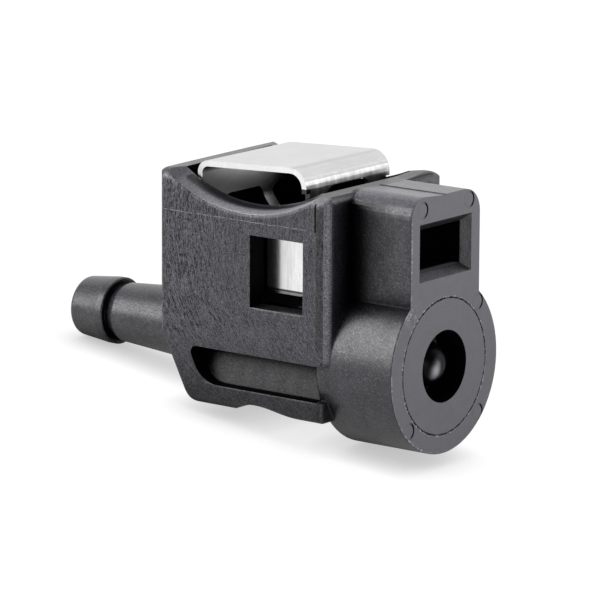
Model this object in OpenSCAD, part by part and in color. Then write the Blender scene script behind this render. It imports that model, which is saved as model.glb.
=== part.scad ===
// Engine-end fuel line connector: a moulded housing with a hose tail, a sprung check
// valve in its port and a stamped steel clip that locks it to the engine's latch pin.
// The origin is the centre of the port's mouth, +X points out of the port, +Z is up,
// and the left side is at +Y.

/* [Port] */
// Radius of the mating face's round part
disc_r = 12; // [11:0.5:13.5]
// Length of the round barrel behind the mating face
barrel_len = 12.9; // [11:0.1:13]
// Rounding of the barrel's rear edge
barrel_round = 0.8; // [0.5:0.1:2.5]
// Radius of the port's bore
bore_r = 4.97; // [4.5:0.01:5.2]
// Radius of the bush that closes the valve chamber
bush_r = 9.34; // [8.8:0.02:9.8]
// Length of the bush
bush_len = 6.5; // [6:0.1:7]

/* [Housing] */
// Width of the housing across the side plates
body_w = 25.3; // [24.5:0.1:28]
// Distance from the mating face to the front plate
plate_x = 10.1; // [9.8:0.1:10.6]
// Distance from the mating face to the rear wall's outer face
rear_x = 39.15; // [38.5:0.05:42]
// Height of the rear wall's top at its right end
top_z = 24.4; // [23.9:0.1:25]
// Rise of the rear wall's top towards its left end
top_lean = 0.35; // [0.1:0.05:0.6]
// Height of the front plate's top
plate_top_z = 23.5; // [23.3:0.05:24]
// Rise of the front plate's top beside the tower's left side
horn_rise = 0.3; // [0.1:0.05:0.5]
// Rounding of the top's left and right corners
top_r = 1.5; // [0.6:0.1:2]
// Depth of the underside below the port's axis
base_z = 7.45; // [7.2:0.05:8.5]
// Thickness of the side plates at the cavity
side_t = 3; // [2.6:0.1:3.2]
// Thickness of the front plate
front_t = 3; // [2.6:0.1:3.2]
// Thickness of the rear wall
rear_t = 2.4; // [1.8:0.1:2.8]
// Rounding of the front plate's right upright edge
edge_r = 1.5; // [0.5:0.1:2]
// Rounding of the front plate's left upright edge
left_edge_r = 0.5; // [0.3:0.1:2]
// Distance from the mating face to the underside's front edge
foot_x = 11.3; // [10.2:0.1:13]
// Rounding of the underside's upright front edges
foot_r = 0.8; // [0.4:0.1:2.5]
// Radius of the dip in the right side plate's top edge
saddle_r = 24; // [22:0.5:28]
// Radius of the shallower dip in the left side plate's top edge
saddle_left_r = 29; // [26:0.5:34]
// Height of the dip's lowest point on the outer edge
saddle_z = 19.77; // [19:0.01:20.5]
// Height of the left side plate's dip above the right one's
saddle_left_up = 0.85; // [0.2:0.05:1.2]
// Distance from the mating face to the dip's lowest point
saddle_x = 24.3; // [23:0.1:26]
// Rise of the dip's sloped edge from the outside to the inside
saddle_rise = 0.95; // [0.5:0.05:2]
// Height of the cavity's floor under the spring legs
floor_z = 7.2; // [6.8:0.1:7.6]
// Depth of the side pockets at their upper edge
pocket_d = 3.6; // [2.5:0.1:4]
// Depth of the side pockets at their lower edge
pocket_low_d = 1.8; // [1:0.1:3]
// Height of the side pockets' upper edge
pocket_top = 0.4; // [0:0.1:0.6]
// Rounding of the side pockets' lower rear corner
pocket_r = 4.4; // [2:0.1:4.6]
// Thickness of the rib under the side pockets
rib_t = 2.85; // [2:0.05:3.5]

/* [Side windows] */
// Distance from the mating face to the windows' front edge
window_x = 14.4; // [14:0.1:15]
// Length of the windows
window_len = 9; // [7:0.1:9.5]
// Height of the windows' sill
window_z = 7.06; // [6.5:0.02:7.5]
// Height of the windows
window_h = 9.94; // [8:0.02:10.2]

/* [Latch tower] */
// Width of the tower
tower_w = 15.54; // [14.5:0.02:16.5]
// Height of the tower's top above the port's axis
tower_z = 23.6; // [23:0.1:24]
// Rounding of the tower's left top edge
tower_left_r = 3.4; // [1.5:0.1:4]
// Rounding of the tower's right top edge
tower_right_r = 2.8; // [1.5:0.1:4]
// Rise of the tower's top towards its right edge
tower_rise = 0.5; // [0.1:0.1:0.6]
// Height of the mould step along the middle of the tower's top
mould_step = 0.12; // [0.02:0.02:0.2]
// Width of the latch pin's slot
slot_w = 9.6; // [8.5:0.1:10]
// Height of the latch pin's slot
slot_h = 5.8; // [5:0.1:6]
// Height of the slot's lower edge above the port's axis
slot_z = 13.35; // [13.2:0.05:13.6]
// Depth of the flared lead-in at the slot's mouth
flare_d = 1.2; // [0.5:0.1:1.6]
// Width of the flare on each side
flare_w = 1.05; // [0.4:0.05:1.3]

/* [Hose tail] */
// Overall length from the mating face to the tail's end
tail_end = 62.6; // [58:0.1:70]
// Length of the barbed head
head_len = 6.4; // [5.5:0.1:7.5]
// Radius of the barb's shoulder
barb_r = 4.75; // [4.5:0.01:5.2]
// Length of the barb's straight land
barb_land = 1; // [0.8:0.1:1.6]
// Radius of the head where its end rounds off
head_end_r = 4.25; // [3.6:0.05:4.4]
// Radius of the head's rounded end
head_round = 0.8; // [0.6:0.1:1.7]
// Radius of the tail in front of the groove behind the barb
neck_r = 4.2; // [3.8:0.05:4.3]
// Radius of the groove behind the barb
groove_r = 3.65; // [3.3:0.05:3.8]
// Length of the groove's slope
groove_len = 1.4; // [0.8:0.1:2]
// Undercut of the barb's shoulder
undercut = 0.3; // [0.1:0.05:0.6]
// Radius of the tail at the housing
root_r = 5.45; // [4.8:0.05:6]
// Radius of the flow passage
flow_r = 2.2; // [1.8:0.1:2.5]

/* [Check valve] */
// Radius of the chamber that guides the plunger's flange
chamber_r = 6.95; // [6.8:0.05:7.2]
// Radial clearance of the plunger's flange
valve_gap = 0.08; // [0.03:0.01:0.1]
// Distance that the plunger travels
valve_travel = 3; // [2:0.1:3.2]
// Radius of the plunger's nose
nose_r = 3.2; // [2.6:0.1:3.4]
// Depth of the nose's tip behind the mating face
nose_depth = 0.4; // [0.2:0.1:1]
// Thickness of the plunger's flange
flange_t = 1.2; // [0.8:0.1:1.4]
// Radius of the plunger's rear stem
stem_r = 1.6; // [1:0.1:2]
// Distance from the mating face to the spring's seat
spring_seat = 16.5; // [16:0.1:17.5]
// Mean radius of the valve spring
coil_r = 4.3; // [3.6:0.1:4.5]
// Radius of the valve spring's wire
wire_r = 0.4; // [0.3:0.05:0.5]
// Turns of the valve spring
coil_turns = 5; // [3:0.5:6]
// Radius of the O-ring's section
ring_t = 0.8; // [0.6:0.05:0.9]

/* [Steel clip] */
// Thickness of the clip's sheet
sheet_t = 0.8; // [0.6:0.05:1]
// Distance from the mating face to the clip's front flange
clip_front = 16.4; // [16.4:0.1:17]
// Gap between the clip's rear flange and the rear wall
clip_back = 1.65; // [0.5:0.05:3]
// Height of the clip's top at its rear bend
clip_rear_z = 25.45; // [25:0.05:26.5]
// Height of the clip's top at its front bend
clip_front_z = 26.4; // [25.5:0.1:27]
// Outer radius of the clip's rear bend
bend_r = 1.75; // [1.1:0.05:2]
// Outer radius of the clip's front bend
front_bend_r = 2.8; // [1.1:0.1:3]
// Height of the rear flange's lower edge
flange_z = 20.1; // [18.5:0.1:21]
// Distance that the clip travels when it is pressed
clip_travel = 3; // [2:0.1:3]
// Height of the locking bar's upper edge
bar_top = 15.4; // [15.1:0.1:16]
// Height of the locking bar
bar_h = 3.6; // [3:0.1:3.9]
// Width of the opening in the front flange
frame_w = 10.3; // [10:0.1:12]
// Height of the upper edge of that opening
frame_top = 23.35; // [22:0.05:23.5]
// Height of the upper end of the reliefs beside the front flange
relief_z = 22.9; // [20:0.1:23.2]
// Rounding of that opening's upper corners
frame_r = 2; // [1:0.1:2.5]
// Length of the side wings
wing_len = 6.6; // [5:0.1:8]
// Height of the wings' lower edge
wing_low = 8.8; // [8.6:0.1:9.5]
// Height of the wings' upper edge
wing_high = 18.5; // [17.5:0.1:19]
// Clearance between the clip and the cavity's side walls
clip_gap = 0.34; // [0.2:0.02:0.5]
// Width of each spring leg
leg_w = 2.1; // [1.6:0.1:3.4]
// Distance of each spring leg's middle from the centre line
leg_y = 5.35; // [3.5:0.05:6]
// Thickness of the spring legs
leg_t = 0.6; // [0.4:0.05:0.8]

/* [Hidden] */
$fn = 96;
half_w = body_w / 2;
inner_w = half_w - side_t;
cavity_front = -plate_x - front_t;
cavity_rear = -rear_x + rear_t;
past = 1;
seat_gap = 0.02;
arc_steps = 8;
// Bush, seal and valve
seal_d = 2 * ring_t + 0.4;
seal_seat_r = bore_r + 1.23;
seal_mid_r = seal_seat_r - ring_t - 0.05;
flange_r = chamber_r - valve_gap;
flange_x = -bush_len - seat_gap;
stem_len = 5;
chamber_end = -bush_len - flange_t - valve_travel - 0.25;
spring_pocket_r = coil_r + wire_r + 0.5;
// Height of the cavity's floor over the valve chamber
step_z = chamber_r + 1.4;
// Clip
clip_rear = rear_x - rear_t - clip_back;
clip_half = inner_w - clip_gap;
stop_gap = 0.1;
leg_bow = 3.6;
neck_fillet = 1.4;

// Points of an arc from angle a0 to a1
function arc(c, r, a0, a1, n = arc_steps) =
    [for (i = [0 : n]) let (a = a0 + (a1 - a0) * i / n) c + r * [cos(a), sin(a)]];

// A corner b between a and c, rounded by radius r
function corner(a, b, c, r, n = arc_steps) =
    let (u = (a - b) / norm(a - b), v = (c - b) / norm(c - b),
         half = acos(max(-1, min(1, u * v))) / 2,
         m = (u + v) / norm(u + v),
         o = b + m * r / sin(half),
         p = b + u * r / tan(half), q = b + v * r / tan(half),
         a0 = atan2(p[1] - o[1], p[0] - o[0]),
         turn = atan2(q[1] - o[1], q[0] - o[0]) - a0,
         a1 = a0 + (turn > 180 ? turn - 360 : turn < -180 ? turn + 360 : turn))
    arc(o, r, a0, a1, n);

// A closed outline with each corner rounded by its own radius
function rounded(pts, radii) =
    let (n = len(pts))
    [for (i = [0 : n - 1])
        each radii[i] == 0 ? [pts[i]]
            : corner(pts[(i + n - 1) % n], pts[i], pts[(i + 1) % n], radii[i])];

// An open path with its inner corners rounded
function bent(pts, radii) =
    let (n = len(pts))
    concat([pts[0]],
        [for (i = [1 : n - 2]) each corner(pts[i - 1], pts[i], pts[i + 1], radii[i - 1])],
        [pts[n - 1]]);

// Unit normal of a path at point i
function side_of(p, i) =
    let (n = len(p), d = p[min(i + 1, n - 1)] - p[max(i - 1, 0)])
    [-d[1], d[0]] / norm(d);

// A strip of sheet of thickness t on the right of a path
function strip(p, t) =
    concat(p, [for (i = [len(p) - 1 : -1 : 0]) p[i] - t * side_of(p, i)]);

// Extrudes an x-z outline along Y, centred
module across(w) {
    rotate([90, 0, 0]) linear_extrude(w, center = true) children();
}

// Extrudes a y-z outline along X from x0 to x1
module along(x0, x1) {
    translate([x0, 0, 0]) rotate([90, 0, 90]) linear_extrude(x1 - x0) children();
}

// Turns an outline of radius and x about the port's axis
module about_port() {
    rotate([0, 90, 0]) rotate_extrude() children();
}

// A cylinder on the port's axis
module on_axis(x0, x1, r) {
    translate([x0, 0, 0]) rotate([0, 90, 0]) cylinder(h = x1 - x0, r = r);
}

// Both sides of a shape
module both_sides() {
    children();
    mirror([0, 1, 0]) children();
}

// Side view of the housing, without the cut-outs
module side_outline() {
    polygon(rounded(
        [[-rear_x, top_z + top_lean], [cavity_rear, top_z + top_lean],
         [cavity_front, plate_top_z + horn_rise], [-plate_x, plate_top_z + horn_rise],
         [-plate_x, -base_z], [-rear_x + 5.3, -base_z], [-rear_x, base_z - 4.6]],
        [1.2, 0, 0, 1.4, 0, 3, 1.5]));
}

// Plan view of the block with its front at x1, from height z0 to z1
module plan(x1, r, left_r, z0, z1) {
    translate([0, 0, z0]) linear_extrude(z1 - z0)
        polygon(rounded(
            [[-rear_x, -half_w], [x1, -half_w], [x1, half_w], [-rear_x, half_w]],
            [0.8, r, left_r, 0.8]));
}

// Block with the housing's side view, its rounded upright edges and rounded top
module block() {
    intersection() {
        across(body_w) side_outline();
        union() {
            plan(-foot_x, foot_r, foot_r, -base_z - past, pocket_top);
            plan(-plate_x, edge_r, left_edge_r, pocket_top - past, top_z + past);
        }
        union() {
            along(-rear_x - past, -saddle_x)
                polygon(rounded(
                    [[-half_w, -base_z], [half_w, -base_z],
                     [half_w, top_z + top_lean], [-half_w, top_z]],
                    [0.6, 0.6, top_r, top_r]));
            along(-saddle_x, 0)
                polygon(rounded(
                    [[-half_w, -base_z], [half_w, -base_z],
                     [half_w, plate_top_z + horn_rise], [tower_w / 2 + 2.5, plate_top_z + horn_rise],
                     [tower_w / 2 - 1.5, plate_top_z], [-half_w, plate_top_z]],
                    [0.6, 0.6, top_r, 2, 2, top_r]));
        }
    }
}

// Dip in the top edge of one side plate, sloped to the outside
module saddle_cut(r, z) {
    over = 0.5;
    slope = saddle_rise / side_t;
    translate([-saddle_x, inner_w - over, z + r]) rotate([-90, 0, 0])
        cylinder(h = side_t + 2 * over, r1 = r - saddle_rise - slope * over,
                 r2 = r + slope * over, $fn = 180);
}

// Recess in one side with a sloped floor, open towards the barrel
module side_pocket() {
    low = -base_z + rib_t;
    k = (pocket_d - pocket_low_d) / (pocket_top - low);
    intersection() {
        across(body_w + 2 * past)
            polygon(rounded(
                [[-rear_x + 5, pocket_top], [-plate_x, pocket_top],
                 [-plate_x, pocket_top + past], [-plate_x + past, pocket_top + past],
                 [-plate_x + past, low], [-rear_x + 7.35, low]],
                [0.9, 0.9, 0, 0, 0, pocket_r]));
        along(-rear_x, 0)
            polygon([[half_w - pocket_low_d + k * past, low - past],
                     [half_w + past, low - past], [half_w + past, pocket_top + past],
                     [half_w - pocket_d - k * past, pocket_top + past]]);
    }
}

// Window through one side plate, beside the clip's wing
module side_window() {
    translate([-window_x - window_len, inner_w - 0.2, window_z])
        cube([window_len, side_t + 0.2 + past, window_h]);
}

// Arch under the housing: a quick rise from the rear and a long run-out to the front
module arch_cut() {
    rear = -26.04;
    peak = -22.6;
    front = -14.2;
    rise = 1.01;
    r = (pow(peak - rear, 2) + pow(rise, 2)) / (2 * rise);
    sweep = asin((peak - rear) / r);
    steps = 10;
    run_out = [for (i = [1 : steps]) [peak + (front - peak) * i / steps,
                                      -base_z + rise * (1 + cos(180 * i / steps)) / 2]];
    across(body_w + 2 * past)
        polygon(concat([[rear, -base_z - past]],
                       arc([peak, -base_z + rise - r], r, 90 + sweep, 90, 6),
                       run_out,
                       [[front, -base_z - past]]));
}

// Space for the clip, open at the top
module clip_cavity() {
    step_x = -spring_seat - 1.5;
    across(2 * inner_w)
        polygon([[cavity_rear, top_z + past], [cavity_front, top_z + past],
                 [cavity_front, step_z], [step_x, step_z],
                 [step_x, floor_z], [cavity_rear, floor_z]]);
    // Slots beside the floor for the pressed clip's wings
    both_sides()
        translate([-clip_front - wing_len - 0.6, clip_half - sheet_t - 0.3,
                   wing_low - clip_travel - 0.4])
            cube([wing_len + 0.9, clip_gap + sheet_t + 0.3, 5]);
}

// Ribs that carry the clip's front flange against the pull of the latch pin
module guide_ribs() {
    inner = frame_w / 2 + 0.7;
    both_sides()
        translate([-clip_front + 0.2, inner, chamber_r + 1])
            cube([clip_front - 0.2 + cavity_front + 0.1, inner_w - inner + 0.1,
                  frame_top - 2 - chamber_r]);
}

// Ledges that stop the clip's wings on their way up
module stop_ledges() {
    x0 = -clip_front - wing_len + 0.5;
    low = wing_high + stop_gap;
    both_sides()
        along(x0, x0 + wing_len - 2)
            polygon([[inner_w + 0.1, low], [inner_w - 0.75, low],
                     [inner_w - 0.75, low + 0.5], [inner_w + 0.1, low + 1.9]]);
}

// Slot for the latch pin, flared at its mouth
module pin_slot() {
    translate([cavity_front - past, -slot_w / 2, slot_z])
        cube([past - cavity_front + past, slot_w, slot_h]);
    k = flare_w / flare_d;
    intersection() {
        across(slot_w + 2 * flare_w + 4)
            polygon([[-flare_d, slot_z], [past, slot_z - flare_w - k * past],
                     [past, slot_z + slot_h + flare_w + k * past], [-flare_d, slot_z + slot_h]]);
        linear_extrude(tower_z)
            polygon([[-flare_d, -slot_w / 2], [past, -slot_w / 2 - flare_w - k * past],
                     [past, slot_w / 2 + flare_w + k * past], [-flare_d, slot_w / 2]]);
    }
}

// Hose tail with one barb, solid
module hose_tail() {
    shoulder = -tail_end + head_len;
    about_port()
        polygon(concat(
            [[0, -rear_x + 8], [root_r, -rear_x + 8], [root_r, -rear_x + 1],
             [neck_r, shoulder + groove_len], [groove_r + 0.1, shoulder],
             [groove_r, shoulder - 0.1], [groove_r, shoulder - undercut],
             [barb_r - 0.15, shoulder], [barb_r, shoulder - 0.15],
             [barb_r, shoulder - barb_land - 0.15]],
            arc([head_end_r - head_round, -tail_end + head_round], head_round, 0, -90),
            [[0, -tail_end]]));
}

// Barrel with a flat mating face and a rounded rear edge
module barrel() {
    about_port()
        polygon(concat(
            [[0, 0], [disc_r, 0]],
            arc([disc_r - barrel_round, -barrel_len + barrel_round], barrel_round, 0, -90),
            [[0, -barrel_len]]));
}

// Tower that holds the latch pin's slot, with the mould's step along its top
module tower() {
    half = tower_w / 2;
    along(-plate_x - past, 0)
        polygon(rounded(
            [[-half, 0], [half, 0], [half, tower_z], [0.05, tower_z],
             [-0.05, tower_z - mould_step], [-half, tower_z + tower_rise]],
            [0, 0, tower_left_r, 0, 0, tower_right_r]));
}

module housing() {
    color([0.13, 0.13, 0.14])
    difference() {
        union() {
            difference() {
                block();
                clip_cavity();
                saddle_cut(saddle_left_r, saddle_z + saddle_left_up);
                mirror([0, 1, 0]) saddle_cut(saddle_r, saddle_z);
                both_sides() side_pocket();
                arch_cut();
            }
            guide_ribs();
            stop_ledges();
            barrel();
            tower();
            hose_tail();
        }
        pin_slot();
        both_sides() side_window();
        // Seat of the bush, chamber, spring pocket and flow passage
        on_axis(-bush_len, past, bush_r + seat_gap);
        on_axis(chamber_end, past, chamber_r);
        on_axis(-spring_seat, past, spring_pocket_r);
        on_axis(-tail_end - past, past, flow_r);
    }
}

module front_bush() {
    color([0.15, 0.15, 0.16])
    difference() {
        on_axis(-bush_len, 0, bush_r);
        on_axis(-bush_len - past, past, bore_r);
        on_axis(-bush_len - past, -bush_len + seal_d, seal_seat_r);
    }
}

module o_ring() {
    color([0.03, 0.03, 0.03])
    translate([-bush_len + seal_d / 2, 0, 0]) rotate([0, 90, 0])
        rotate_extrude() translate([seal_mid_r, 0]) circle(r = ring_t, $fn = 32);
}

module valve_plunger() {
    nose_mid = -nose_depth - nose_r;
    seal_x = -bush_len + seal_d / 2;
    // The sealing cone lies against the O-ring's inner rear side
    cone_foot = [seal_mid_r - ring_t - 0.45, seal_x - 0.3];
    cone_end = [seal_mid_r + 0.2, flange_x];
    flutes = 6;
    color([0.02, 0.02, 0.02])
    difference() {
        about_port()
            polygon(concat(
                [[0, -nose_depth]],
                arc([0, nose_mid], nose_r, 90, 0, 12),
                [[nose_r, cone_foot[1] + 0.35], cone_foot, cone_end,
                 [flange_r, flange_x], [flange_r, flange_x - flange_t],
                 [stem_r, flange_x - flange_t], [stem_r, flange_x - flange_t - stem_len],
                 [0, flange_x - flange_t - stem_len]]));
        // Flutes let the fuel past the flange
        for (i = [0 : flutes - 1])
            rotate([360 * i / flutes, 0, 0]) translate([0, 0, flange_r])
                on_axis(flange_x - flange_t - past, flange_x - 0.01, 0.9);
    }
}

// Point of the valve spring's centre line, as a turn from 0 to 1 runs it from end to end
function coil_point(t) =
    let (a = 360 * coil_turns * t,
         x0 = -spring_seat + wire_r + seat_gap,
         x1 = flange_x - flange_t - wire_r - seat_gap,
         // The end turns lie flat
         s = max(0, min(1, (t - 0.1) / 0.8)))
    [x0 + (x1 - x0) * s, coil_r * cos(a), coil_r * sin(a)];

module valve_spring() {
    sides = 8;
    rings = coil_turns * 22;
    ring_points = [for (i = [0 : rings])
        let (t = i / rings, a = 360 * coil_turns * t, p = coil_point(t))
        each [for (j = [0 : sides - 1])
            let (b = 360 * j / sides)
            p + wire_r * [sin(b), cos(b) * cos(a), cos(b) * sin(a)]]];
    skin = [for (i = [0 : rings - 1], j = [0 : sides - 1])
        let (k = (j + 1) % sides)
        [i * sides + j, i * sides + k, (i + 1) * sides + k, (i + 1) * sides + j]];
    start_cap = [for (j = [sides - 1 : -1 : 0]) j];
    end_cap = [for (j = [0 : sides - 1]) rings * sides + j];
    color([0.7, 0.7, 0.72])
    polyhedron(points = ring_points, faces = concat(skin, [start_cap, end_cap]), convexity = 6);
}

// Side view of the clip's sheet: rear flange, top and front flange
module clip_profile() {
    x0 = -clip_rear;
    x1 = -clip_front;
    polygon(strip(bent(
        [[x0, flange_z], [x0, clip_rear_z], [x1, clip_front_z], [x1, bar_top - bar_h]],
        [bend_r, front_bend_r]), sheet_t));
}

// Front view of the opening in the front flange
module frame_opening() {
    h = frame_w / 2;
    polygon(rounded(
        [[-h, bar_top], [h, bar_top], [h, frame_top], [-h, frame_top]],
        [0.8, 0.8, frame_r, frame_r]));
}

// Side view of one wing, extruded to its sheet
module wing() {
    translate([0, sheet_t, 0]) rotate([90, 0, 0]) linear_extrude(sheet_t)
        polygon(rounded(
            [[0, wing_low], [wing_len, wing_low], [wing_len, wing_high], [0, wing_high]],
            [1, 1, 0, 1]));
}

module latch_clip() {
    x1 = -clip_front;
    color([0.78, 0.78, 0.8])
    difference() {
        union() {
            across(2 * clip_half) clip_profile();
            // Wings, folded back from the sides of the front flange
            both_sides()
                translate([x1 - wing_len, clip_half - sheet_t, 0])
                    wing();
        }
        along(x1 - sheet_t - past, x1 + past) frame_opening();
        // Reliefs between the wings' bends and the top
        both_sides()
            translate([x1 - sheet_t - past, clip_half - sheet_t, wing_high])
                cube([sheet_t + 2 * past, 2 * sheet_t, relief_z - wing_high]);
    }
}

// Front view of a spring leg's flared neck
module leg_neck() {
    top = flange_z - seat_gap;
    half = leg_w / 2;
    r = neck_fillet;
    polygon(concat(arc([leg_y - half - r, top - r], r, 90, 0),
                   arc([leg_y + half + r, top - r], r, 180, 90)));
}

// The clip's two spring legs, bowed forward from the rear flange to the cavity's floor
module clip_springs() {
    x0 = -clip_rear + 0.1;
    foot_z = floor_z + seat_gap;
    path = bent(
        [[x0, flange_z - seat_gap], [x0, flange_z - 1.6],
         [x0 + leg_bow, (flange_z + foot_z) / 2 + 0.6],
         [x0 + 0.5, foot_z + 1], [x0 + 2.2, foot_z]],
        [2.2, 5, 0.9]);
    color([0.72, 0.72, 0.74])
    both_sides() {
        translate([0, leg_y, 0]) across(leg_w)
            polygon(strip(path, -leg_t));
        along(x0, x0 + leg_t) leg_neck();
    }
}

housing();
front_bush();
o_ring();
valve_plunger();
valve_spring();
latch_clip();
clip_springs();
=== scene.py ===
"""Looks of the fuel line connector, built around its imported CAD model."""
import math

import bpy
from mathutils import Matrix, Vector


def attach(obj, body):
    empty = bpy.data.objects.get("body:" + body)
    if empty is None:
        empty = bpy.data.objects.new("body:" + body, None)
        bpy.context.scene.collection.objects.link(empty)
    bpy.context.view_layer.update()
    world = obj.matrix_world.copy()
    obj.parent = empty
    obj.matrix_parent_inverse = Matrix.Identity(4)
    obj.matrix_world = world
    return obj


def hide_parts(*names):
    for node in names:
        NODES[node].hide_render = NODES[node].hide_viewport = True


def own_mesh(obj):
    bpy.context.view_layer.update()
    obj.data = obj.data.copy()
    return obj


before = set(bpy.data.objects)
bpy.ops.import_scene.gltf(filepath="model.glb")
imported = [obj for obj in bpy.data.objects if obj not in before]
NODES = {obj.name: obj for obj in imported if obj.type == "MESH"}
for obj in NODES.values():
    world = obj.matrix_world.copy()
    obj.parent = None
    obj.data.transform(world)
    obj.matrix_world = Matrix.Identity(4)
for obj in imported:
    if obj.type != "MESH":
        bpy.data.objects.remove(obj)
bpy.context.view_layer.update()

MM = 0.001
WHITE = (1, 1, 1, 1)

# Camera, as fitted to the photograph (degrees, metres, lens and sensor in millimetres)
CAMERA_AZIMUTH = 37.67
CAMERA_ELEVATION = 12.06
CAMERA_ROLL = 0.3
CAMERA_DISTANCE = 0.7
CAMERA_TARGET = Vector((-24.59, 0, 5.80)) * MM
CAMERA_LENS = 306.2
CAMERA_SENSOR = 36

# Sizes of the object that the looks refer to, in millimetres from the centre of the mating face
DISC_R = 12
BUSH_R = 9.34
PASSAGE_R = 2.4
BORE_END = -17
HALF_W = 12.65
INNER_W = 9.65
TOWER_HALF = 7.77
TOWER_FOOT_Z = 9.14
TOWER_TOP_Z = 23.0
PLATE_FRONT = -10.1
CAVITY = (-36.8, -13.05)
CAVITY_FLOOR = 6.5
SLOT_Z = (13.2, 19.3)
SLOT_HALF = 5
FLARE_END = -1.2
WINDOW_REAR = -23.4
WINDOW_Z = (7, 17.1)
POCKET_Y = (8, 12.6)
POCKET_Z = (-5, 0.5)
POCKET_FRONT = -12.5
RAIL_TOP = -4.45
PARTING_Z = 18.81
PARTING_X = (-38.9, -13.95)
GROOVE_X = -12.35
GROOVE_Z = (18.8, 22.5)
SEAM_X = (-10.0, -1.6)
DIP_X = (-35.5, -13.3)
DIP_Z = (18.0, 23.4)
TAIL_X = (-44.0, -40.0)
# The latch clip's sheet
CLIP_TOP_Z = 26.0
CLIP_HALF = 9.2
WING_LOW = 8.8
WING_X = (-20.5, -18.0)
# Ejector marks on the mating face: y, z
PINS = ((-5.25, 22.1), (5.22, 22.1), (7.5, 7.7), (7.75, -7.7), (-7.9, -7.6))
PIN_R = 1.08
# Where the near side of the tower's outline meets the barrel's: y, z
RIM_CORNER = (-7.7, 8.2)
# Centre and half size of the painted highlight on the valve's nose: y, z
NOSE_HIGHLIGHT_MIDDLE = (-1.0, -0.5)
NOSE_HIGHLIGHT_HALF = (1.1, 1.9)

# Streaks of the melt turn forward below this height, along a parabola
FLOW_BEND_Z = 14.0
FLOW_BEND = 28.0

# The object lies on its barrel and its barb, so the table slopes in its frame
TABLE_SLOPE = 9.0
TABLE_SIZE = 1.2
TABLE_GAP = 0.05 * MM

# The middle of what the lamps light, and the way to the bright backdrop
LIT_MIDDLE = Vector((-0.025, 0, 0.005))
BACKDROP_WAY = Vector((-0.55, 0.80, 0.1)).normalized()


def make_camera():
    az = math.radians(CAMERA_AZIMUTH)
    el = math.radians(CAMERA_ELEVATION)
    roll = math.radians(CAMERA_ROLL)
    back = Vector((math.sin(az) * math.cos(el), -math.cos(az) * math.cos(el), math.sin(el)))
    level_right = Vector((math.cos(az), math.sin(az), 0))
    level_up = back.cross(level_right)
    right = level_right * math.cos(roll) + level_up * math.sin(roll)
    up = level_up * math.cos(roll) - level_right * math.sin(roll)
    data = bpy.data.cameras.new("camera")
    data.lens = CAMERA_LENS
    data.sensor_width = CAMERA_SENSOR
    data.sensor_fit = "HORIZONTAL"
    data.clip_start = 0.01
    data.clip_end = 20
    camera = bpy.data.objects.new("camera", data)
    bpy.context.scene.collection.objects.link(camera)
    turn = Matrix((right, up, back)).transposed().to_4x4()
    camera.matrix_world = Matrix.Translation(CAMERA_TARGET + back * CAMERA_DISTANCE) @ turn
    bpy.context.scene.camera = camera


class Nodes:
    """Small helpers that fill one node tree. Values are numbers or sockets."""

    def __init__(self, tree):
        self.tree = tree
        tree.nodes.clear()

    def link(self, a, b):
        self.tree.links.new(a, b)

    def put(self, socket, value):
        if isinstance(value, bpy.types.NodeSocket):
            self.link(value, socket)
        else:
            socket.default_value = value

    def node(self, kind, inputs=None, **settings):
        n = self.tree.nodes.new(kind)
        for key, value in settings.items():
            setattr(n, key, value)
        for key, value in (inputs or {}).items():
            self.put(n.inputs[key], value)
        return n

    def math(self, how, a, b=0.0):
        return self.node("ShaderNodeMath", {0: a, 1: b}, operation=how).outputs[0]

    def chain(self, how, values):
        result = values[0]
        for value in values[1:]:
            result = self.math(how, result, value)
        return result

    def add(self, *values):
        return self.chain("ADD", values)

    def mul(self, *values):
        return self.chain("MULTIPLY", values)

    def most(self, *values):
        return self.chain("MAXIMUM", values)

    def sub(self, a, b):
        return self.math("SUBTRACT", a, b)

    def invert(self, value):
        return self.sub(1.0, value)

    def magnitude(self, value):
        return self.math("ABSOLUTE", value)

    def length(self, a, b):
        return self.math("SQRT", self.add(self.mul(a, a), self.mul(b, b)))

    def dim(self, value, mask, share):
        """Takes that share off the value where the mask is 1."""
        return self.mul(value, self.invert(self.mul(mask, share)))

    def split(self, co):
        return self.node("ShaderNodeSeparateXYZ", {0: co}).outputs[:3]

    def join(self, x, y, z):
        return self.node("ShaderNodeCombineXYZ", {0: x, 1: y, 2: z}).outputs[0]

    def ramp(self, value, low, high, to_low=0.0, to_high=1.0, how="LINEAR"):
        return self.node("ShaderNodeMapRange",
                         {0: value, 1: low, 2: high, 3: to_low, 4: to_high},
                         interpolation_type=how).outputs[0]

    def soft(self, value, low, high, to_low=0.0, to_high=1.0):
        return self.ramp(value, low, high, to_low, to_high, "SMOOTHSTEP")

    def within(self, value, low, high, blur):
        """1 between low and high, falling to 0 over blur outside."""
        return self.mul(self.soft(value, low - blur, low),
                        self.invert(self.soft(value, high, high + blur)))

    def line(self, value, middle, half, blur):
        """1 on a line of that half width, falling to 0 over blur."""
        return self.invert(self.soft(self.magnitude(self.sub(value, middle)), half, half + blur))

    def shelter(self, distance):
        """1 in the open, falling towards 0 in crevices."""
        return self.node("ShaderNodeAmbientOcclusion", {"Distance": distance * MM},
                         samples=6).outputs["AO"]


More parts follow.
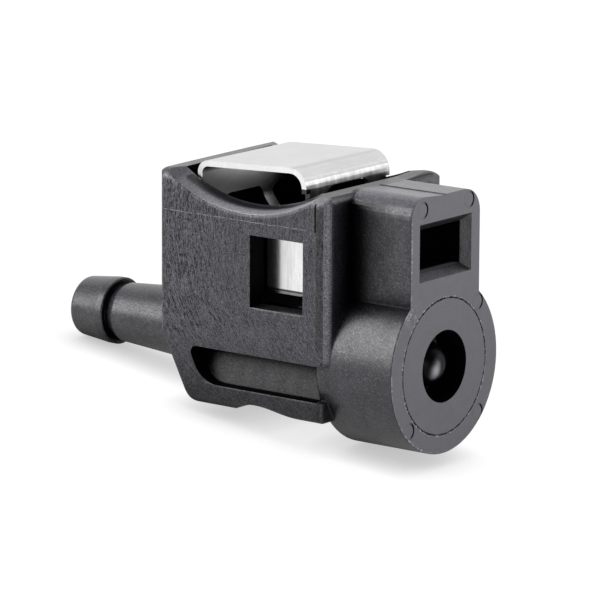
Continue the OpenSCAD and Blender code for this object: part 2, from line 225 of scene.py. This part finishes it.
class Shader(Nodes):
    """One material, with its place on the object in millimetres and its normal at hand."""

    def __init__(self, name):
        self.material = bpy.data.materials.new(name)
        self.material.use_nodes = True
        super().__init__(self.material.node_tree)
        self.bsdf = self.node("ShaderNodeBsdfPrincipled")
        self.link(self.bsdf.outputs[0], self.node("ShaderNodeOutputMaterial").inputs[0])
        co = self.node("ShaderNodeTexCoord").outputs["Object"]
        self.p = self.node("ShaderNodeVectorMath", {0: co, "Scale": 1 / MM},
                           operation="SCALE").outputs[0]
        self.x, self.y, self.z = self.split(self.p)
        normal = self.node("ShaderNodeNewGeometry").outputs["Normal"]
        self.nx, self.ny, self.nz = self.split(normal)

    def stretch(self, scale):
        """The place on the object, scaled along each axis."""
        return self.node("ShaderNodeVectorMath", {0: self.p, 1: scale},
                         operation="MULTIPLY").outputs[0]

    def noise(self, co, scale, detail=3.0, rough=0.55, distort=0.0):
        return self.node("ShaderNodeTexNoise",
                         {"Vector": co, "Scale": scale, "Detail": detail,
                          "Roughness": rough, "Distortion": distort}).outputs[0]

    def grey(self, value):
        """The cool grey of the nylon, bluer where it is dark."""
        blue = self.ramp(value, 0.02, 0.2, 1.24, 1.08)
        return self.join(value, self.mul(value, 0.985), self.mul(value, blue))

    def set(self, **sockets):
        for key, value in sockets.items():
            self.put(self.bsdf.inputs[key.replace("_", " ")], value)

    def edge_normal(self, radius, height, strength, depth):
        """Small edges rounded to a radius in metres, with a bump of that depth (mm) on top."""
        rounded = self.node("ShaderNodeBevel", {"Radius": radius}, samples=6).outputs[0]
        bump = self.node("ShaderNodeBump", {"Strength": strength, "Distance": depth * MM,
                                            "Height": height, "Normal": rounded})
        self.set(Normal=bump.outputs[0])
        return rounded

    def edge_turn(self, rounded):
        """1 on edges, from how far their rounding turns the normal."""
        flat = self.node("ShaderNodeNewGeometry").outputs["True Normal"]
        same = self.node("ShaderNodeVectorMath", {0: rounded, 1: flat},
                         operation="DOT_PRODUCT").outputs["Value"]
        return self.soft(self.invert(same), 0.02, 0.2)


class Nylon(Shader):
    """Glass-filled nylon: dark grey, streaked by the flow of the melt, with a fine speckle, and
    with painted shade and painted highlights in places.
    """

    def __init__(self, name="nylon", gloss=1.0, level=1.0):
        super().__init__(name)
        self.ay = self.magnitude(self.y)
        self.side = self.soft(self.ay, HALF_W - 0.35, HALF_W - 0.05)
        self.speck = self.noise(self.p, 5.2, 2.0, 0.6)
        self.open_air = self.shelter(6.0)
        shade = self.flow_marks()
        dark = self.dark_lines()
        self.find_tops()
        # 1 in the open, less where shade is painted: beside the tower, on dark lines, near the
        # table, on the dip's strip and the front plate's top
        unshaded_share = self.corners(dark)
        tone = self.tone(shade, dark)
        # Painted shade: the base colour darkens in crevices, where the share above falls, and on
        # faces that look down; the dip's lip and the tops are kept out of it
        painted_crevice_shade = self.most(
            self.mul(self.math("POWER", self.open_air, 1.6), self.add(0.1, self.mul(unshaded_share, 0.9))),
            self.mul(self.bright, 0.8), self.mul(self.upper, 0.9))
        painted_crevice_shade = self.mul(painted_crevice_shade, self.ramp(self.nz, -0.9, -0.1, 0.45, 1.0))
        # level darkens a copy of the nylon as painted shade
        self.set(Base_Color=self.grey(self.mul(tone, level, painted_crevice_shade)), IOR=1.5,
                 Roughness=self.ramp(self.fine, 0.35, 0.65, 0.36, 0.27),
                 Specular_IOR_Level=self.sheen(shade, unshaded_share, gloss))

    def grainy(self, low, high):
        """A strength that follows the speckle."""
        return self.ramp(self.speck, 0.35, 0.65, low, high)

    def by_side(self, base, extra):
        """The base strength, with more of it on the side plates."""
        return self.add(base, self.mul(self.side, extra))

    def flow_marks(self):
        """Streaks and specks about 0; the streaks turn forward low on the side plates."""
        below = self.most(self.sub(FLOW_BEND_Z, self.z), 0.0)
        drift = self.mul(self.sub(self.noise(self.p, 0.12, 1.0), 0.5), 2.5)
        along = self.sub(self.x, self.math("DIVIDE", self.mul(below, below), FLOW_BEND))
        along = self.add(along, drift)
        self.streaks = self.noise(self.join(along, self.y, self.mul(self.z, 0.07)), 4.2, 3.0, 0.6)
        self.fine = self.noise(self.join(along, self.y, self.mul(self.z, 0.2)), 8.0, 2.0, 0.6)
        shade = self.add(
            self.mul(self.ramp(self.streaks, 0.36, 0.64, -0.5, 0.5), self.by_side(0.3, 0.35)),
            self.mul(self.ramp(self.fine, 0.38, 0.62, -0.6, 0.6), self.by_side(0.25, 0.6)))
        # Strongest at the rear of the side plates, weak at their foot and elsewhere
        on_side = self.mul(self.ramp(self.x, -34.0, -25.0, 1.5, 0.8),
                           self.ramp(self.z, -1.0, 3.0, 0.4, 1.0), self.side)
        shade = self.mul(shade, self.add(on_side, self.mul(self.invert(self.side), 0.5)))
        cloud = self.noise(self.p, 0.4, 2.0)
        dust = self.mul(self.ramp(self.noise(self.p, 3.4, 3.0, 0.75), 0.60, 0.68),
                        self.ramp(cloud, 0.4, 0.6, 0.2, 1.0))
        pale = self.ramp(self.speck, 0.60, 0.74)
        return self.add(shade, self.mul(self.grainy(-0.3, 0.3), self.by_side(1.0, 0.5)),
                        self.mul(dust, 0.7), self.ramp(cloud, 0.3, 0.7, -0.12, 0.12),
                        self.mul(pale, 0.9))

    def parting_line(self):
        """The mould's parting line along the side plates, broken here and there."""
        broken = self.ramp(self.noise(self.stretch((1.0, 0.2, 0.2)), 1.1, 2.0), 0.40, 0.55)
        wave = self.sub(self.noise(self.stretch((1.0, 0.1, 0.1)), 0.5, 2.0), 0.5)
        height = self.add(self.z, self.mul(wave, 0.25))
        return self.mul(self.line(height, PARTING_Z, 0.03, 0.05), broken, self.side,
                        self.within(self.x, *PARTING_X, 0.2))

    def dark_lines(self):
        """Upright groove beside the front plate, and the seam along the tower's top."""
        groove = self.mul(self.line(self.x, GROOVE_X, 0.09, 0.08), self.side,
                          self.within(self.z, *GROOVE_Z, 0.2))
        seam = self.mul(self.line(self.y, -0.1, 0.05, 0.06),
                        self.soft(self.z, TOWER_TOP_Z, TOWER_TOP_Z + 0.2),
                        self.within(self.x, *SEAM_X, 0.3))
        return self.most(groove, seam)

    def find_tops(self):
        """The faces that look up: the front plate's top, the dip's sloped strip, the others."""
        self.plate_top = self.mul(
            self.within(self.x, CAVITY[1] - 0.15, PLATE_FRONT - 0.15, 0.05),
            self.invert(self.soft(self.ay, 11.0, 12.0)), self.soft(self.nz, 0.5, 0.8))
        self.all_tops = self.mul(self.soft(self.nz, 0.25, 0.8), self.soft(self.z, 20.0, 22.0),
                                 self.invert(self.plate_top))
        self.strip = self.mul(self.soft(self.nz, 0.35, 0.6), self.within(self.x, *DIP_X, 0.6),
                              self.soft(self.ay, INNER_W - 0.25, INNER_W - 0.05),
                              self.within(self.z, *DIP_Z, 0.3))
        self.lip = self.line(self.ay, HALF_W - 0.55, 0.55, 0.9)
        # Painted highlight on the dip's outer lip: it keeps its sheen and stays out of the
        # painted shade
        self.bright = self.mul(self.strip, self.lip, self.ramp(self.x, -34.0, -26.0, 0.5, 1.0))
        self.upper = self.mul(self.all_tops, self.invert(self.strip),
                              self.ramp(self.x, -36.5, -35.0, 0.15, 1.0))

    def corners(self, dark):
        """Painted shade: 1 in the open, falling in the nooks beside the tower and on dark lines.
        """
        beside = self.mul(self.soft(self.x, PLATE_FRONT - 0.5, PLATE_FRONT - 0.1),
                          self.soft(self.z, 7.0, 9.0))
        off_tower = self.sub(self.ay, TOWER_HALF)
        from_plate = self.most(self.sub(self.x, PLATE_FRONT), self.mul(off_tower, 2.6))
        from_barrel = self.length(off_tower, self.sub(self.z, TOWER_FOOT_Z))
        open_space = self.math("MINIMUM", self.ramp(from_plate, 0.2, 7.5),
                               self.ramp(from_barrel, 0.1, 2.6, 0.2, 1.0))
        unshaded_share = self.most(open_space, self.invert(beside), self.soft(self.z, 22.2, 22.9),
                         self.all_tops)
        unshaded_share = self.dim(unshaded_share, dark, 0.92)
        # The side plates get less light near the table
        unshaded_share = self.dim(unshaded_share, self.side, self.ramp(self.z, -5.5, 2.5, 0.5, 0.0))
        # Painted shade: a dark stripe on the dip's strip, and the front plate's top darker
        unshaded_share = self.dim(unshaded_share, self.mul(self.strip, self.invert(self.lip)), 0.6)
        return self.dim(unshaded_share, self.plate_top, 0.6)

    def round_edges(self):
        """Rounds the small edges, the dip's wider ones more, and returns the grainy convex edges,
        which the tone makes paler.
        """
        dip = self.mul(self.soft(self.z, 18.9, 19.6), self.soft(self.ay, 9.5, 10.5))
        radius = self.add(0.35, self.mul(dip, 0.5))
        grain = self.noise(self.p, 9.0, 1.0, 0.5)
        height = self.add(self.mul(self.streaks, 0.4), self.mul(self.speck, 0.5),
                          self.mul(grain, 0.5))
        rounded = self.edge_normal(self.mul(radius, MM), height, 0.14, 0.1)
        pale_edge = self.mul(self.edge_turn(rounded), self.soft(self.shelter(0.8), 0.78, 0.95),
                        self.grainy(0.4, 1.0))
        # Not on the foot in front of the side plates
        return self.dim(pale_edge, self.soft(self.x, -13.0, -12.0),
                        self.invert(self.soft(self.z, -1.0, 0.0)))

    def painted_upright_highlight(self):
        """A painted highlight on the rounded upright edges of the front plate."""
        turned = self.magnitude(self.mul(self.nx, self.ny, 2.0))
        return self.mul(self.soft(turned, 0.55, 0.95), self.soft(self.z, 0.5, 1.5),
                        self.soft(self.ay, 11.0, 11.6), self.soft(self.x, -13.5, -12.5))

    def tone(self, shade, dark):
        """How pale the surface is, with painted highlights and painted shade in places, before
        the painted shade of the nooks darkens it.
        """
        tone = self.most(self.add(self.by_side(0.024, 0.008), self.mul(shade, 0.036)), 0.003)
        tone = self.add(tone, self.mul(self.parting_line(), 0.14))
        tone = self.dim(tone, dark, 0.95)
        # Painted shade on a strip of the side plates beside the front plate's edge
        painted_edge_shade = self.mul(self.side, self.within(self.x, -12.1, -11.4, 0.2),
                               self.soft(self.z, 1.5, 3.0))
        tone = self.dim(tone, painted_edge_shade, 0.75)
        tone = self.add(tone, self.mul(self.round_edges(), 0.045))
        # Painted highlights on the dip's strip: a pale grainy outer lip and a thin pale inner
        # line, with a dark stripe of painted shade between them
        inner_line = self.mul(self.line(self.ay, INNER_W + 0.2, 0.1, 0.15), 0.5)
        painted_dip_highlight = self.mul(self.strip, self.most(self.lip, inner_line),
                            self.ramp(self.x, -34.0, -26.0, 0.4, 1.0), self.grainy(0.12, 0.34))
        # Painted light on the tops, mottled, and more of it towards the side plates
        top_mottle = self.noise(self.stretch((1.0, 1.6, 1.0)), 1.9, 3.0, 0.65)
        painted_top_light = self.mul(self.upper, self.add(self.ramp(top_mottle, 0.35, 0.65, 0.03, 0.09),
                                                 self.mul(self.soft(self.ay, 8.0, 10.0), 0.09)))
        # Faint flecks along the rear of the front plate's top
        flecks = self.ramp(self.noise(self.stretch((1.0, 0.5, 1.0)), 2.2, 2.0), 0.47, 0.55)
        flecks = self.mul(self.plate_top, self.line(self.x, -12.5, 0.12, 0.15), flecks, 0.1)
        # Edge of the rail below the side pocket
        rail = self.mul(self.side, self.line(self.z, RAIL_TOP, 0.08, 0.12),
                        self.within(self.x, -31.0, -11.8, 0.8), self.grainy(0.03, 0.12))
        upright = self.mul(self.painted_upright_highlight(), self.grainy(0.05, 0.20))
        return self.add(tone, painted_dip_highlight, painted_top_light, flecks, rail, upright)

    def sheen(self, shade, unshaded_share, gloss):
        """The specular level, with painted shade and painted sheen: less in crevices and below,
        more on the tail and on tops.
        """
        sheen = self.mul(self.most(self.soft(self.open_air, 0.12, 0.7), self.bright),
                         self.add(0.5, self.mul(shade, 0.35)), self.mul(unshaded_share, gloss),
                         self.ramp(self.nz, -0.9, -0.1, 0.4, 1.0),
                         self.ramp(self.x, *TAIL_X, 1.05, 1.0))
        tops = self.mul(self.soft(self.nz, 0.75, 0.97), self.open_air, 0.5)
        return self.most(self.add(sheen, tops), 0.0)


def nylon_face():
    """The mating face: the same nylon, finer, with the marks of the mould, and paler, partly as
    painted light.
    """
    s = Shader("nylon_face")
    speck = s.noise(s.p, 5.0, 2.0, 0.6)
    # Painted shade: the tone falls towards the bottom
    tone = s.add(0.089, s.ramp(s.noise(s.p, 0.5, 3.0), 0.3, 0.7, -0.006, 0.006),
                 s.mul(s.z, 0.0010), s.ramp(speck, 0.4, 0.7, -0.006, 0.014),
                 s.mul(s.ramp(s.noise(s.p, 1.6, 3.0, 0.7), 0.60, 0.70), 0.02))
    # Ring between the bush and the housing: a broken dark line with pale flash
    r = s.length(s.y, s.z)
    wobbly_r = s.add(r, s.mul(s.sub(s.noise(s.p, 1.4, 2.0), 0.5), 0.16))
    broken = s.ramp(s.noise(s.p, 1.9, 3.0, 0.7), 0.40, 0.5, 0.35, 1.0)
    ring = s.mul(s.line(wobbly_r, BUSH_R + 0.03, 0.07, 0.09), broken)
    flash = s.mul(s.line(wobbly_r, BUSH_R + 0.18, 0.08, 0.1),
                  s.ramp(s.noise(s.p, 2.2, 2.0), 0.55, 0.63))
    # Ejector marks: a dark crescent of painted shade on one side
    marks = []
    for y, z in PINS:
        off_y = s.sub(s.y, y)
        circle = s.line(s.length(off_y, s.sub(s.z, z)), PIN_R, 0.12, 0.08)
        marks.append(s.mul(circle, s.ramp(off_y, 0.1, 0.7, 0.1, 1.0)))
    pin_crescent_shade = s.most(*marks)
    tone = s.dim(s.dim(tone, ring, 0.97), pin_crescent_shade, 0.97)
    # Flash along the outline, most of it on the near side
    round_rim = s.mul(s.line(r, DISC_R - 0.15, 0.08, 0.1),
                      s.most(s.invert(s.soft(s.z, 7.6, 8.6)), s.soft(s.magnitude(s.y), 7.5, 7.8)))
    tower_rim = s.mul(s.line(s.y, 0.18 - TOWER_HALF, 0.08, 0.12),
                      s.within(s.z, 8.6, 21.2, 0.4))
    near_side = s.soft(s.mul(s.y, -1.0), 2.0, 5.0)
    rim = s.mul(s.most(round_rim, tower_rim),
                s.ramp(s.noise(s.p, 1.3, 3.0, 0.7), 0.50, 0.62),
                s.add(0.25, s.mul(near_side, 0.75)))
    # Curled flash in the corner between the tower and the barrel
    corner = s.length(s.sub(s.y, RIM_CORNER[0]), s.sub(s.z, RIM_CORNER[1]))
    at_corner = s.invert(s.soft(corner, 0.5, 2.0))
    curl = s.noise(s.p, 1.0, 3.0, 0.6, 1.6)
    tone = s.dim(tone, s.mul(at_corner, s.line(curl, 0.46, 0.008, 0.014)), 0.85)
    curls = s.mul(at_corner, s.line(curl, 0.52, 0.012, 0.02))
    light = s.most(flash, rim, curls)
    tone = s.add(tone, s.mul(light, 0.26))
    s.set(Base_Color=s.grey(tone), Roughness=0.42, IOR=1.5,
          Specular_IOR_Level=s.mul(s.invert(s.most(pin_crescent_shade, ring)), 0.5))
    s.edge_normal(0.12 * MM, s.add(speck, s.mul(light, 1.5)), 0.12, 0.05)
    return s.material


def nylon_inside():
    """Walls inside the housing, which get next to no light but on the slot's floor."""
    s = Shader("nylon_inside")
    slot_floor_light = s.mul(s.soft(s.x, -2.6, -1.9), s.soft(s.z, 12.5, 13.0), s.soft(s.nz, 0.6, 0.9))
    s.set(Base_Color=s.grey(s.add(s.mul(slot_floor_light, 0.16), 0.0015)), Roughness=0.6, IOR=1.5,
          Specular_IOR_Level=0.04)
    s.edge_normal(0.15 * MM, s.noise(s.p, 4.0), 0.15, 0.05)
    return s.material


def gloss_black():
    """The valve: a nose with a painted highlight on its front, paler and glossier there, and dull
    sides.
    """
    s = Shader("gloss_black")
    far = s.length(s.math("DIVIDE", s.sub(s.y, NOSE_HIGHLIGHT_MIDDLE[0]), NOSE_HIGHLIGHT_HALF[0]),
                   s.math("DIVIDE", s.sub(s.z, NOSE_HIGHLIGHT_MIDDLE[1]), NOSE_HIGHLIGHT_HALF[1]))
    nose_highlight = s.mul(s.invert(s.soft(far, 0.1, 1.0)), s.soft(s.x, -4.5, -3.5))
    s.set(Base_Color=s.grey(s.add(s.mul(nose_highlight, nose_highlight, 0.30), 0.002)), Roughness=0.28, IOR=1.55,
          Specular_IOR_Level=s.add(0.06, s.mul(nose_highlight, 0.9)))
    s.edge_normal(0.1 * MM, s.noise(s.p, 1.5), 0.05, 0.05)
    return s.material


def rubber():
    s = Shader("rubber")
    s.set(Base_Color=(0.006, 0.00591, 0.0069, 1), Roughness=0.6)
    s.edge_normal(0.1 * MM, s.noise(s.p, 5.0), 0.2, 0.03)
    return s.material


def steel(name, roughness=0.3, tone=0.69):
    """Rolled stainless sheet with a fine grain, and painted shade and painted reflections in
    places.
    """
    s = Shader(name)
    grain = s.noise(s.stretch((6.0, 0.3, 0.6)), 1.6, 3.0, 0.6)
    smudge = s.noise(s.p, 0.25, 2.0)
    tone = s.add(tone, s.ramp(smudge, 0.3, 0.7, -0.02, 0.02),
                 s.ramp(grain, 0.3, 0.7, -0.05, 0.05))
    # Painted reflection: a grey stripe before the front bend
    bend_reflection = s.mul(s.line(s.sub(s.x, s.mul(s.y, 0.03)), -18.0, 0.4, 1.0),
                 s.soft(s.z, CLIP_TOP_Z, CLIP_TOP_Z + 0.2))
    tone = s.dim(tone, bend_reflection, 0.15)
    # Painted shade on the front flange, streaked
    flange = s.mul(s.soft(s.nx, 0.6, 0.97), s.soft(s.x, -17.2, -16.8),
                   s.invert(s.soft(s.z, 23.6, 25.6)))
    streaks = s.noise(s.stretch((1.0, 1.0, 0.15)), 1.0, 3.0, 0.6)
    tone = s.dim(tone, flange, s.ramp(streaks, 0.35, 0.65, 0.7, 0.4))
    # The near wing's root lies in the dark between the flange and the side plate
    root = s.mul(s.soft(s.mul(s.y, -1.0), CLIP_HALF - 1.0, CLIP_HALF - 0.7),
                 s.soft(s.x, WING_X[0], WING_X[0] + 0.5), s.within(s.z, 19.5, 23.5, 0.1))
    tone = s.dim(tone, root, 0.93)
    # Brushed wings; painted shade darkens their rear part, a fold line and a lip along their
    # lower edge
    wing = s.mul(s.soft(s.magnitude(s.y), CLIP_HALF, CLIP_HALF + 0.1),
                 s.invert(s.soft(s.z, 18.0, 19.0)))
    brushed = s.noise(s.stretch((1.0, 1.0, 0.08)), 2.5, 3.0, 0.65)
    tone = s.add(tone, s.mul(wing, s.ramp(brushed, 0.35, 0.65, 0.0, 0.14)))
    tone = s.dim(tone, wing, s.ramp(s.x, *WING_X, 0.1, 0.0))
    tone = s.dim(tone, s.mul(wing, s.line(s.z, WING_LOW + 0.5, 0.08, 0.12)), 0.85)
    lip = s.mul(wing, s.invert(s.soft(s.z, WING_LOW + 0.4, WING_LOW + 0.6)))
    tone = s.dim(tone, lip, 0.7)
    s.set(Base_Color=s.join(tone, tone, tone), Metallic=1.0,
          Roughness=s.sub(roughness, s.mul(wing, 0.12)))
    return s.material


def dress(obj, materials, choose=None):
    """Gives a mesh its materials; choose picks one by a face's middle (mm) and normal."""
    mesh = obj.data
    mesh.materials.clear()
    for m in materials:
        mesh.materials.append(m)
    for face in mesh.polygons:
        face.material_index = choose(face.center / MM, face.normal) if choose else 0


def on_mating_face(c, n):
    return c.x > -0.02 and n.x > 0.9


def housing_part(c, n):
    """Picks 0 for the outside, 1 for the mating face, 2 for inner walls, 3 for side pockets; 3 is
    a darker, duller copy of the nylon as painted shade.
    """
    if on_mating_face(c, n):
        return 1
    r = math.hypot(c.y, c.z)
    in_cavity = CAVITY[0] < c.x < CAVITY[1] and abs(c.y) < INNER_W + 0.02 and c.z > CAVITY_FLOOR
    in_slot = (CAVITY[0] < c.x < FLARE_END - 0.05 and abs(c.y) < SLOT_HALF
               and SLOT_Z[0] < c.z < SLOT_Z[1])
    in_bore = BORE_END < c.x < -0.05 and r < BUSH_R + 0.1
    in_window = abs(c.x - WINDOW_REAR) < 0.1 and WINDOW_Z[0] < c.z < WINDOW_Z[1]
    in_pocket = (POCKET_Z[0] < c.z < POCKET_Z[1] and POCKET_Y[0] < abs(c.y) < POCKET_Y[1]
                 and c.x < POCKET_FRONT)
    # The pocket's rear end and the rail's top get the inner walls' painted shade
    pocket_end = in_pocket and (n.x > 0.4 or n.z > 0.6)
    if in_cavity or in_slot or in_bore or r < PASSAGE_R or in_window or pocket_end:
        return 2
    return 3 if in_pocket else 0


def bush_part(c, n):
    """Picks 0 for the mating face and 1 for the bore."""
    return 0 if on_mating_face(c, n) else 1


def stand_in(name, material):
    """A copy of a spring's CAD node with its own mesh, attached to the body in place of the
    hidden node.
    """
    cad = NODES[name]
    piece = cad.copy()
    piece.data = cad.data.copy()
    piece.name = name + "_piece"
    for key in list(piece.keys()):
        del piece[key]
    piece.parent = None
    bpy.context.scene.collection.objects.link(piece)
    dress(piece, [material])
    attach(piece, "body")
    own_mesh(piece)
    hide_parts(name)


def soft_box(name, place, width, height, radiance, glossy=True):
    """A lamp of that size in metres, aimed at the object."""
    data = bpy.data.lights.new(name, "AREA")
    data.shape = "RECTANGLE"
    data.size = width
    data.size_y = height
    data.energy = radiance * math.pi * width * height
    light = bpy.data.objects.new(name, data)
    bpy.context.scene.collection.objects.link(light)
    light.location = place
    light.rotation_euler = (LIT_MIDDLE - Vector(place)).to_track_quat("-Z", "Y").to_euler()
    light.visible_camera = False
    light.visible_glossy = glossy


def make_lights():
    soft_box("top_box", (-0.03, 0.04, 0.62), 0.6, 0.6, 1.3, glossy=False)
    soft_box("key_box", LIT_MIDDLE + Vector((-0.42, -0.49, 0.25)), 0.44, 0.58, 6.0)
    soft_box("right_box", (0.52, 0.40, 0.11), 0.4, 0.4, 2.6)
    soft_box("edge_strip", (0.5, -0.38, 0.03), 0.1, 0.3, 6.0)


def make_world():
    """A bright backdrop behind the object and a darker room in front of it.

    The camera sees white all round; polished faces see the white of the backdrop only.
    """
    world = bpy.data.worlds.new("studio")
    bpy.context.scene.world = world
    world.use_nodes = True
    s = Nodes(world.node_tree)
    way = s.node("ShaderNodeTexCoord").outputs["Generated"]
    toward = s.node("ShaderNodeVectorMath", {0: way, 1: BACKDROP_WAY},
                    operation="DOT_PRODUCT").outputs["Value"]
    level = s.soft(toward, -0.35, 0.55, 0.08, 0.8)
    room = s.node("ShaderNodeBackground", {0: WHITE, 1: level}).outputs[0]
    shown = s.node("ShaderNodeBackground", {0: WHITE, 1: 1.0}).outputs[0]
    path = s.node("ShaderNodeLightPath").outputs
    mirrored = s.mul(path["Is Glossy Ray"], s.soft(toward, -0.25, 0.25))
    seen = s.most(path["Is Camera Ray"], mirrored, path["Is Transmission Ray"])
    both = s.node("ShaderNodeMixShader", {0: seen, 1: room, 2: shown}).outputs[0]
    s.link(both, s.node("ShaderNodeOutputWorld").inputs[0])


def table_material():
    """White to the eye with the object's shadow, deepened by painted shadow where the object is
    near, and plain pale to the light that bounces.
    """
    material = bpy.data.materials.new("table")
    material.use_nodes = True
    s = Nodes(material.node_tree)
    bounced = s.node("ShaderNodeBsdfDiffuse", {"Color": (0.8, 0.8, 0.8, 1)}).outputs[0]
    # Painted shadow: the glow falls where the object is near
    painted_contact_shadow = s.ramp(s.shelter(5.0), 0.1, 0.95, 0.5, 0.93)
    glow = s.node("ShaderNodeEmission", {"Color": WHITE, "Strength": painted_contact_shadow}).outputs[0]
    pale = s.node("ShaderNodeBsdfDiffuse", {"Color": (0.12, 0.12, 0.12, 1)}).outputs[0]
    shown = s.node("ShaderNodeAddShader", {0: pale, 1: glow}).outputs[0]
    path = s.node("ShaderNodeLightPath").outputs
    seen = s.most(path["Is Camera Ray"], path["Is Glossy Ray"], path["Is Transmission Ray"])
    top = s.node("ShaderNodeMixShader", {0: seen, 1: bounced, 2: shown}).outputs[0]
    # Clear from below, so that the underside can be looked at
    below = s.node("ShaderNodeBsdfTransparent").outputs[0]
    from_below = s.node("ShaderNodeNewGeometry").outputs["Backfacing"]
    both = s.node("ShaderNodeMixShader", {0: from_below, 1: top, 2: below}).outputs[0]
    s.link(both, s.node("ShaderNodeOutputMaterial").inputs[0])
    return material


def make_table():
    """A plain white table under the object's barrel and barb."""
    slope = math.radians(TABLE_SLOPE)
    up = Vector((math.sin(slope), 0, math.cos(slope)))
    low = min(up.dot(v.co) for o in NODES.values() for v in o.data.vertices)
    bpy.ops.mesh.primitive_plane_add(size=TABLE_SIZE)
    table = bpy.context.object
    table.name = "table"
    table.rotation_euler = (0, slope, 0)
    table.location = up * (low - TABLE_GAP)
    table.data.materials.append(table_material())


make_camera()
make_world()
make_lights()
make_table()
bpy.context.scene.view_settings.view_transform = "Standard"

face = nylon_face()
inside = nylon_inside()
clip_steel = steel("clip_steel")
outside = Nylon().material
# A darker, duller copy of the nylon for the side pockets: painted shade
pocket = Nylon("nylon_pocket_shaded", gloss=0.3, level=0.75).material
dress(NODES["housing"], [outside, face, inside, pocket], housing_part)
dress(NODES["front_bush"], [face, inside], bush_part)
dress(NODES["valve_plunger"], [gloss_black()])
dress(NODES["o_ring"], [rubber()])
dress(NODES["latch_clip"], [clip_steel])
stand_in("clip_springs", clip_steel)
stand_in("valve_spring",
         steel("spring_steel", 0.25, 0.6))
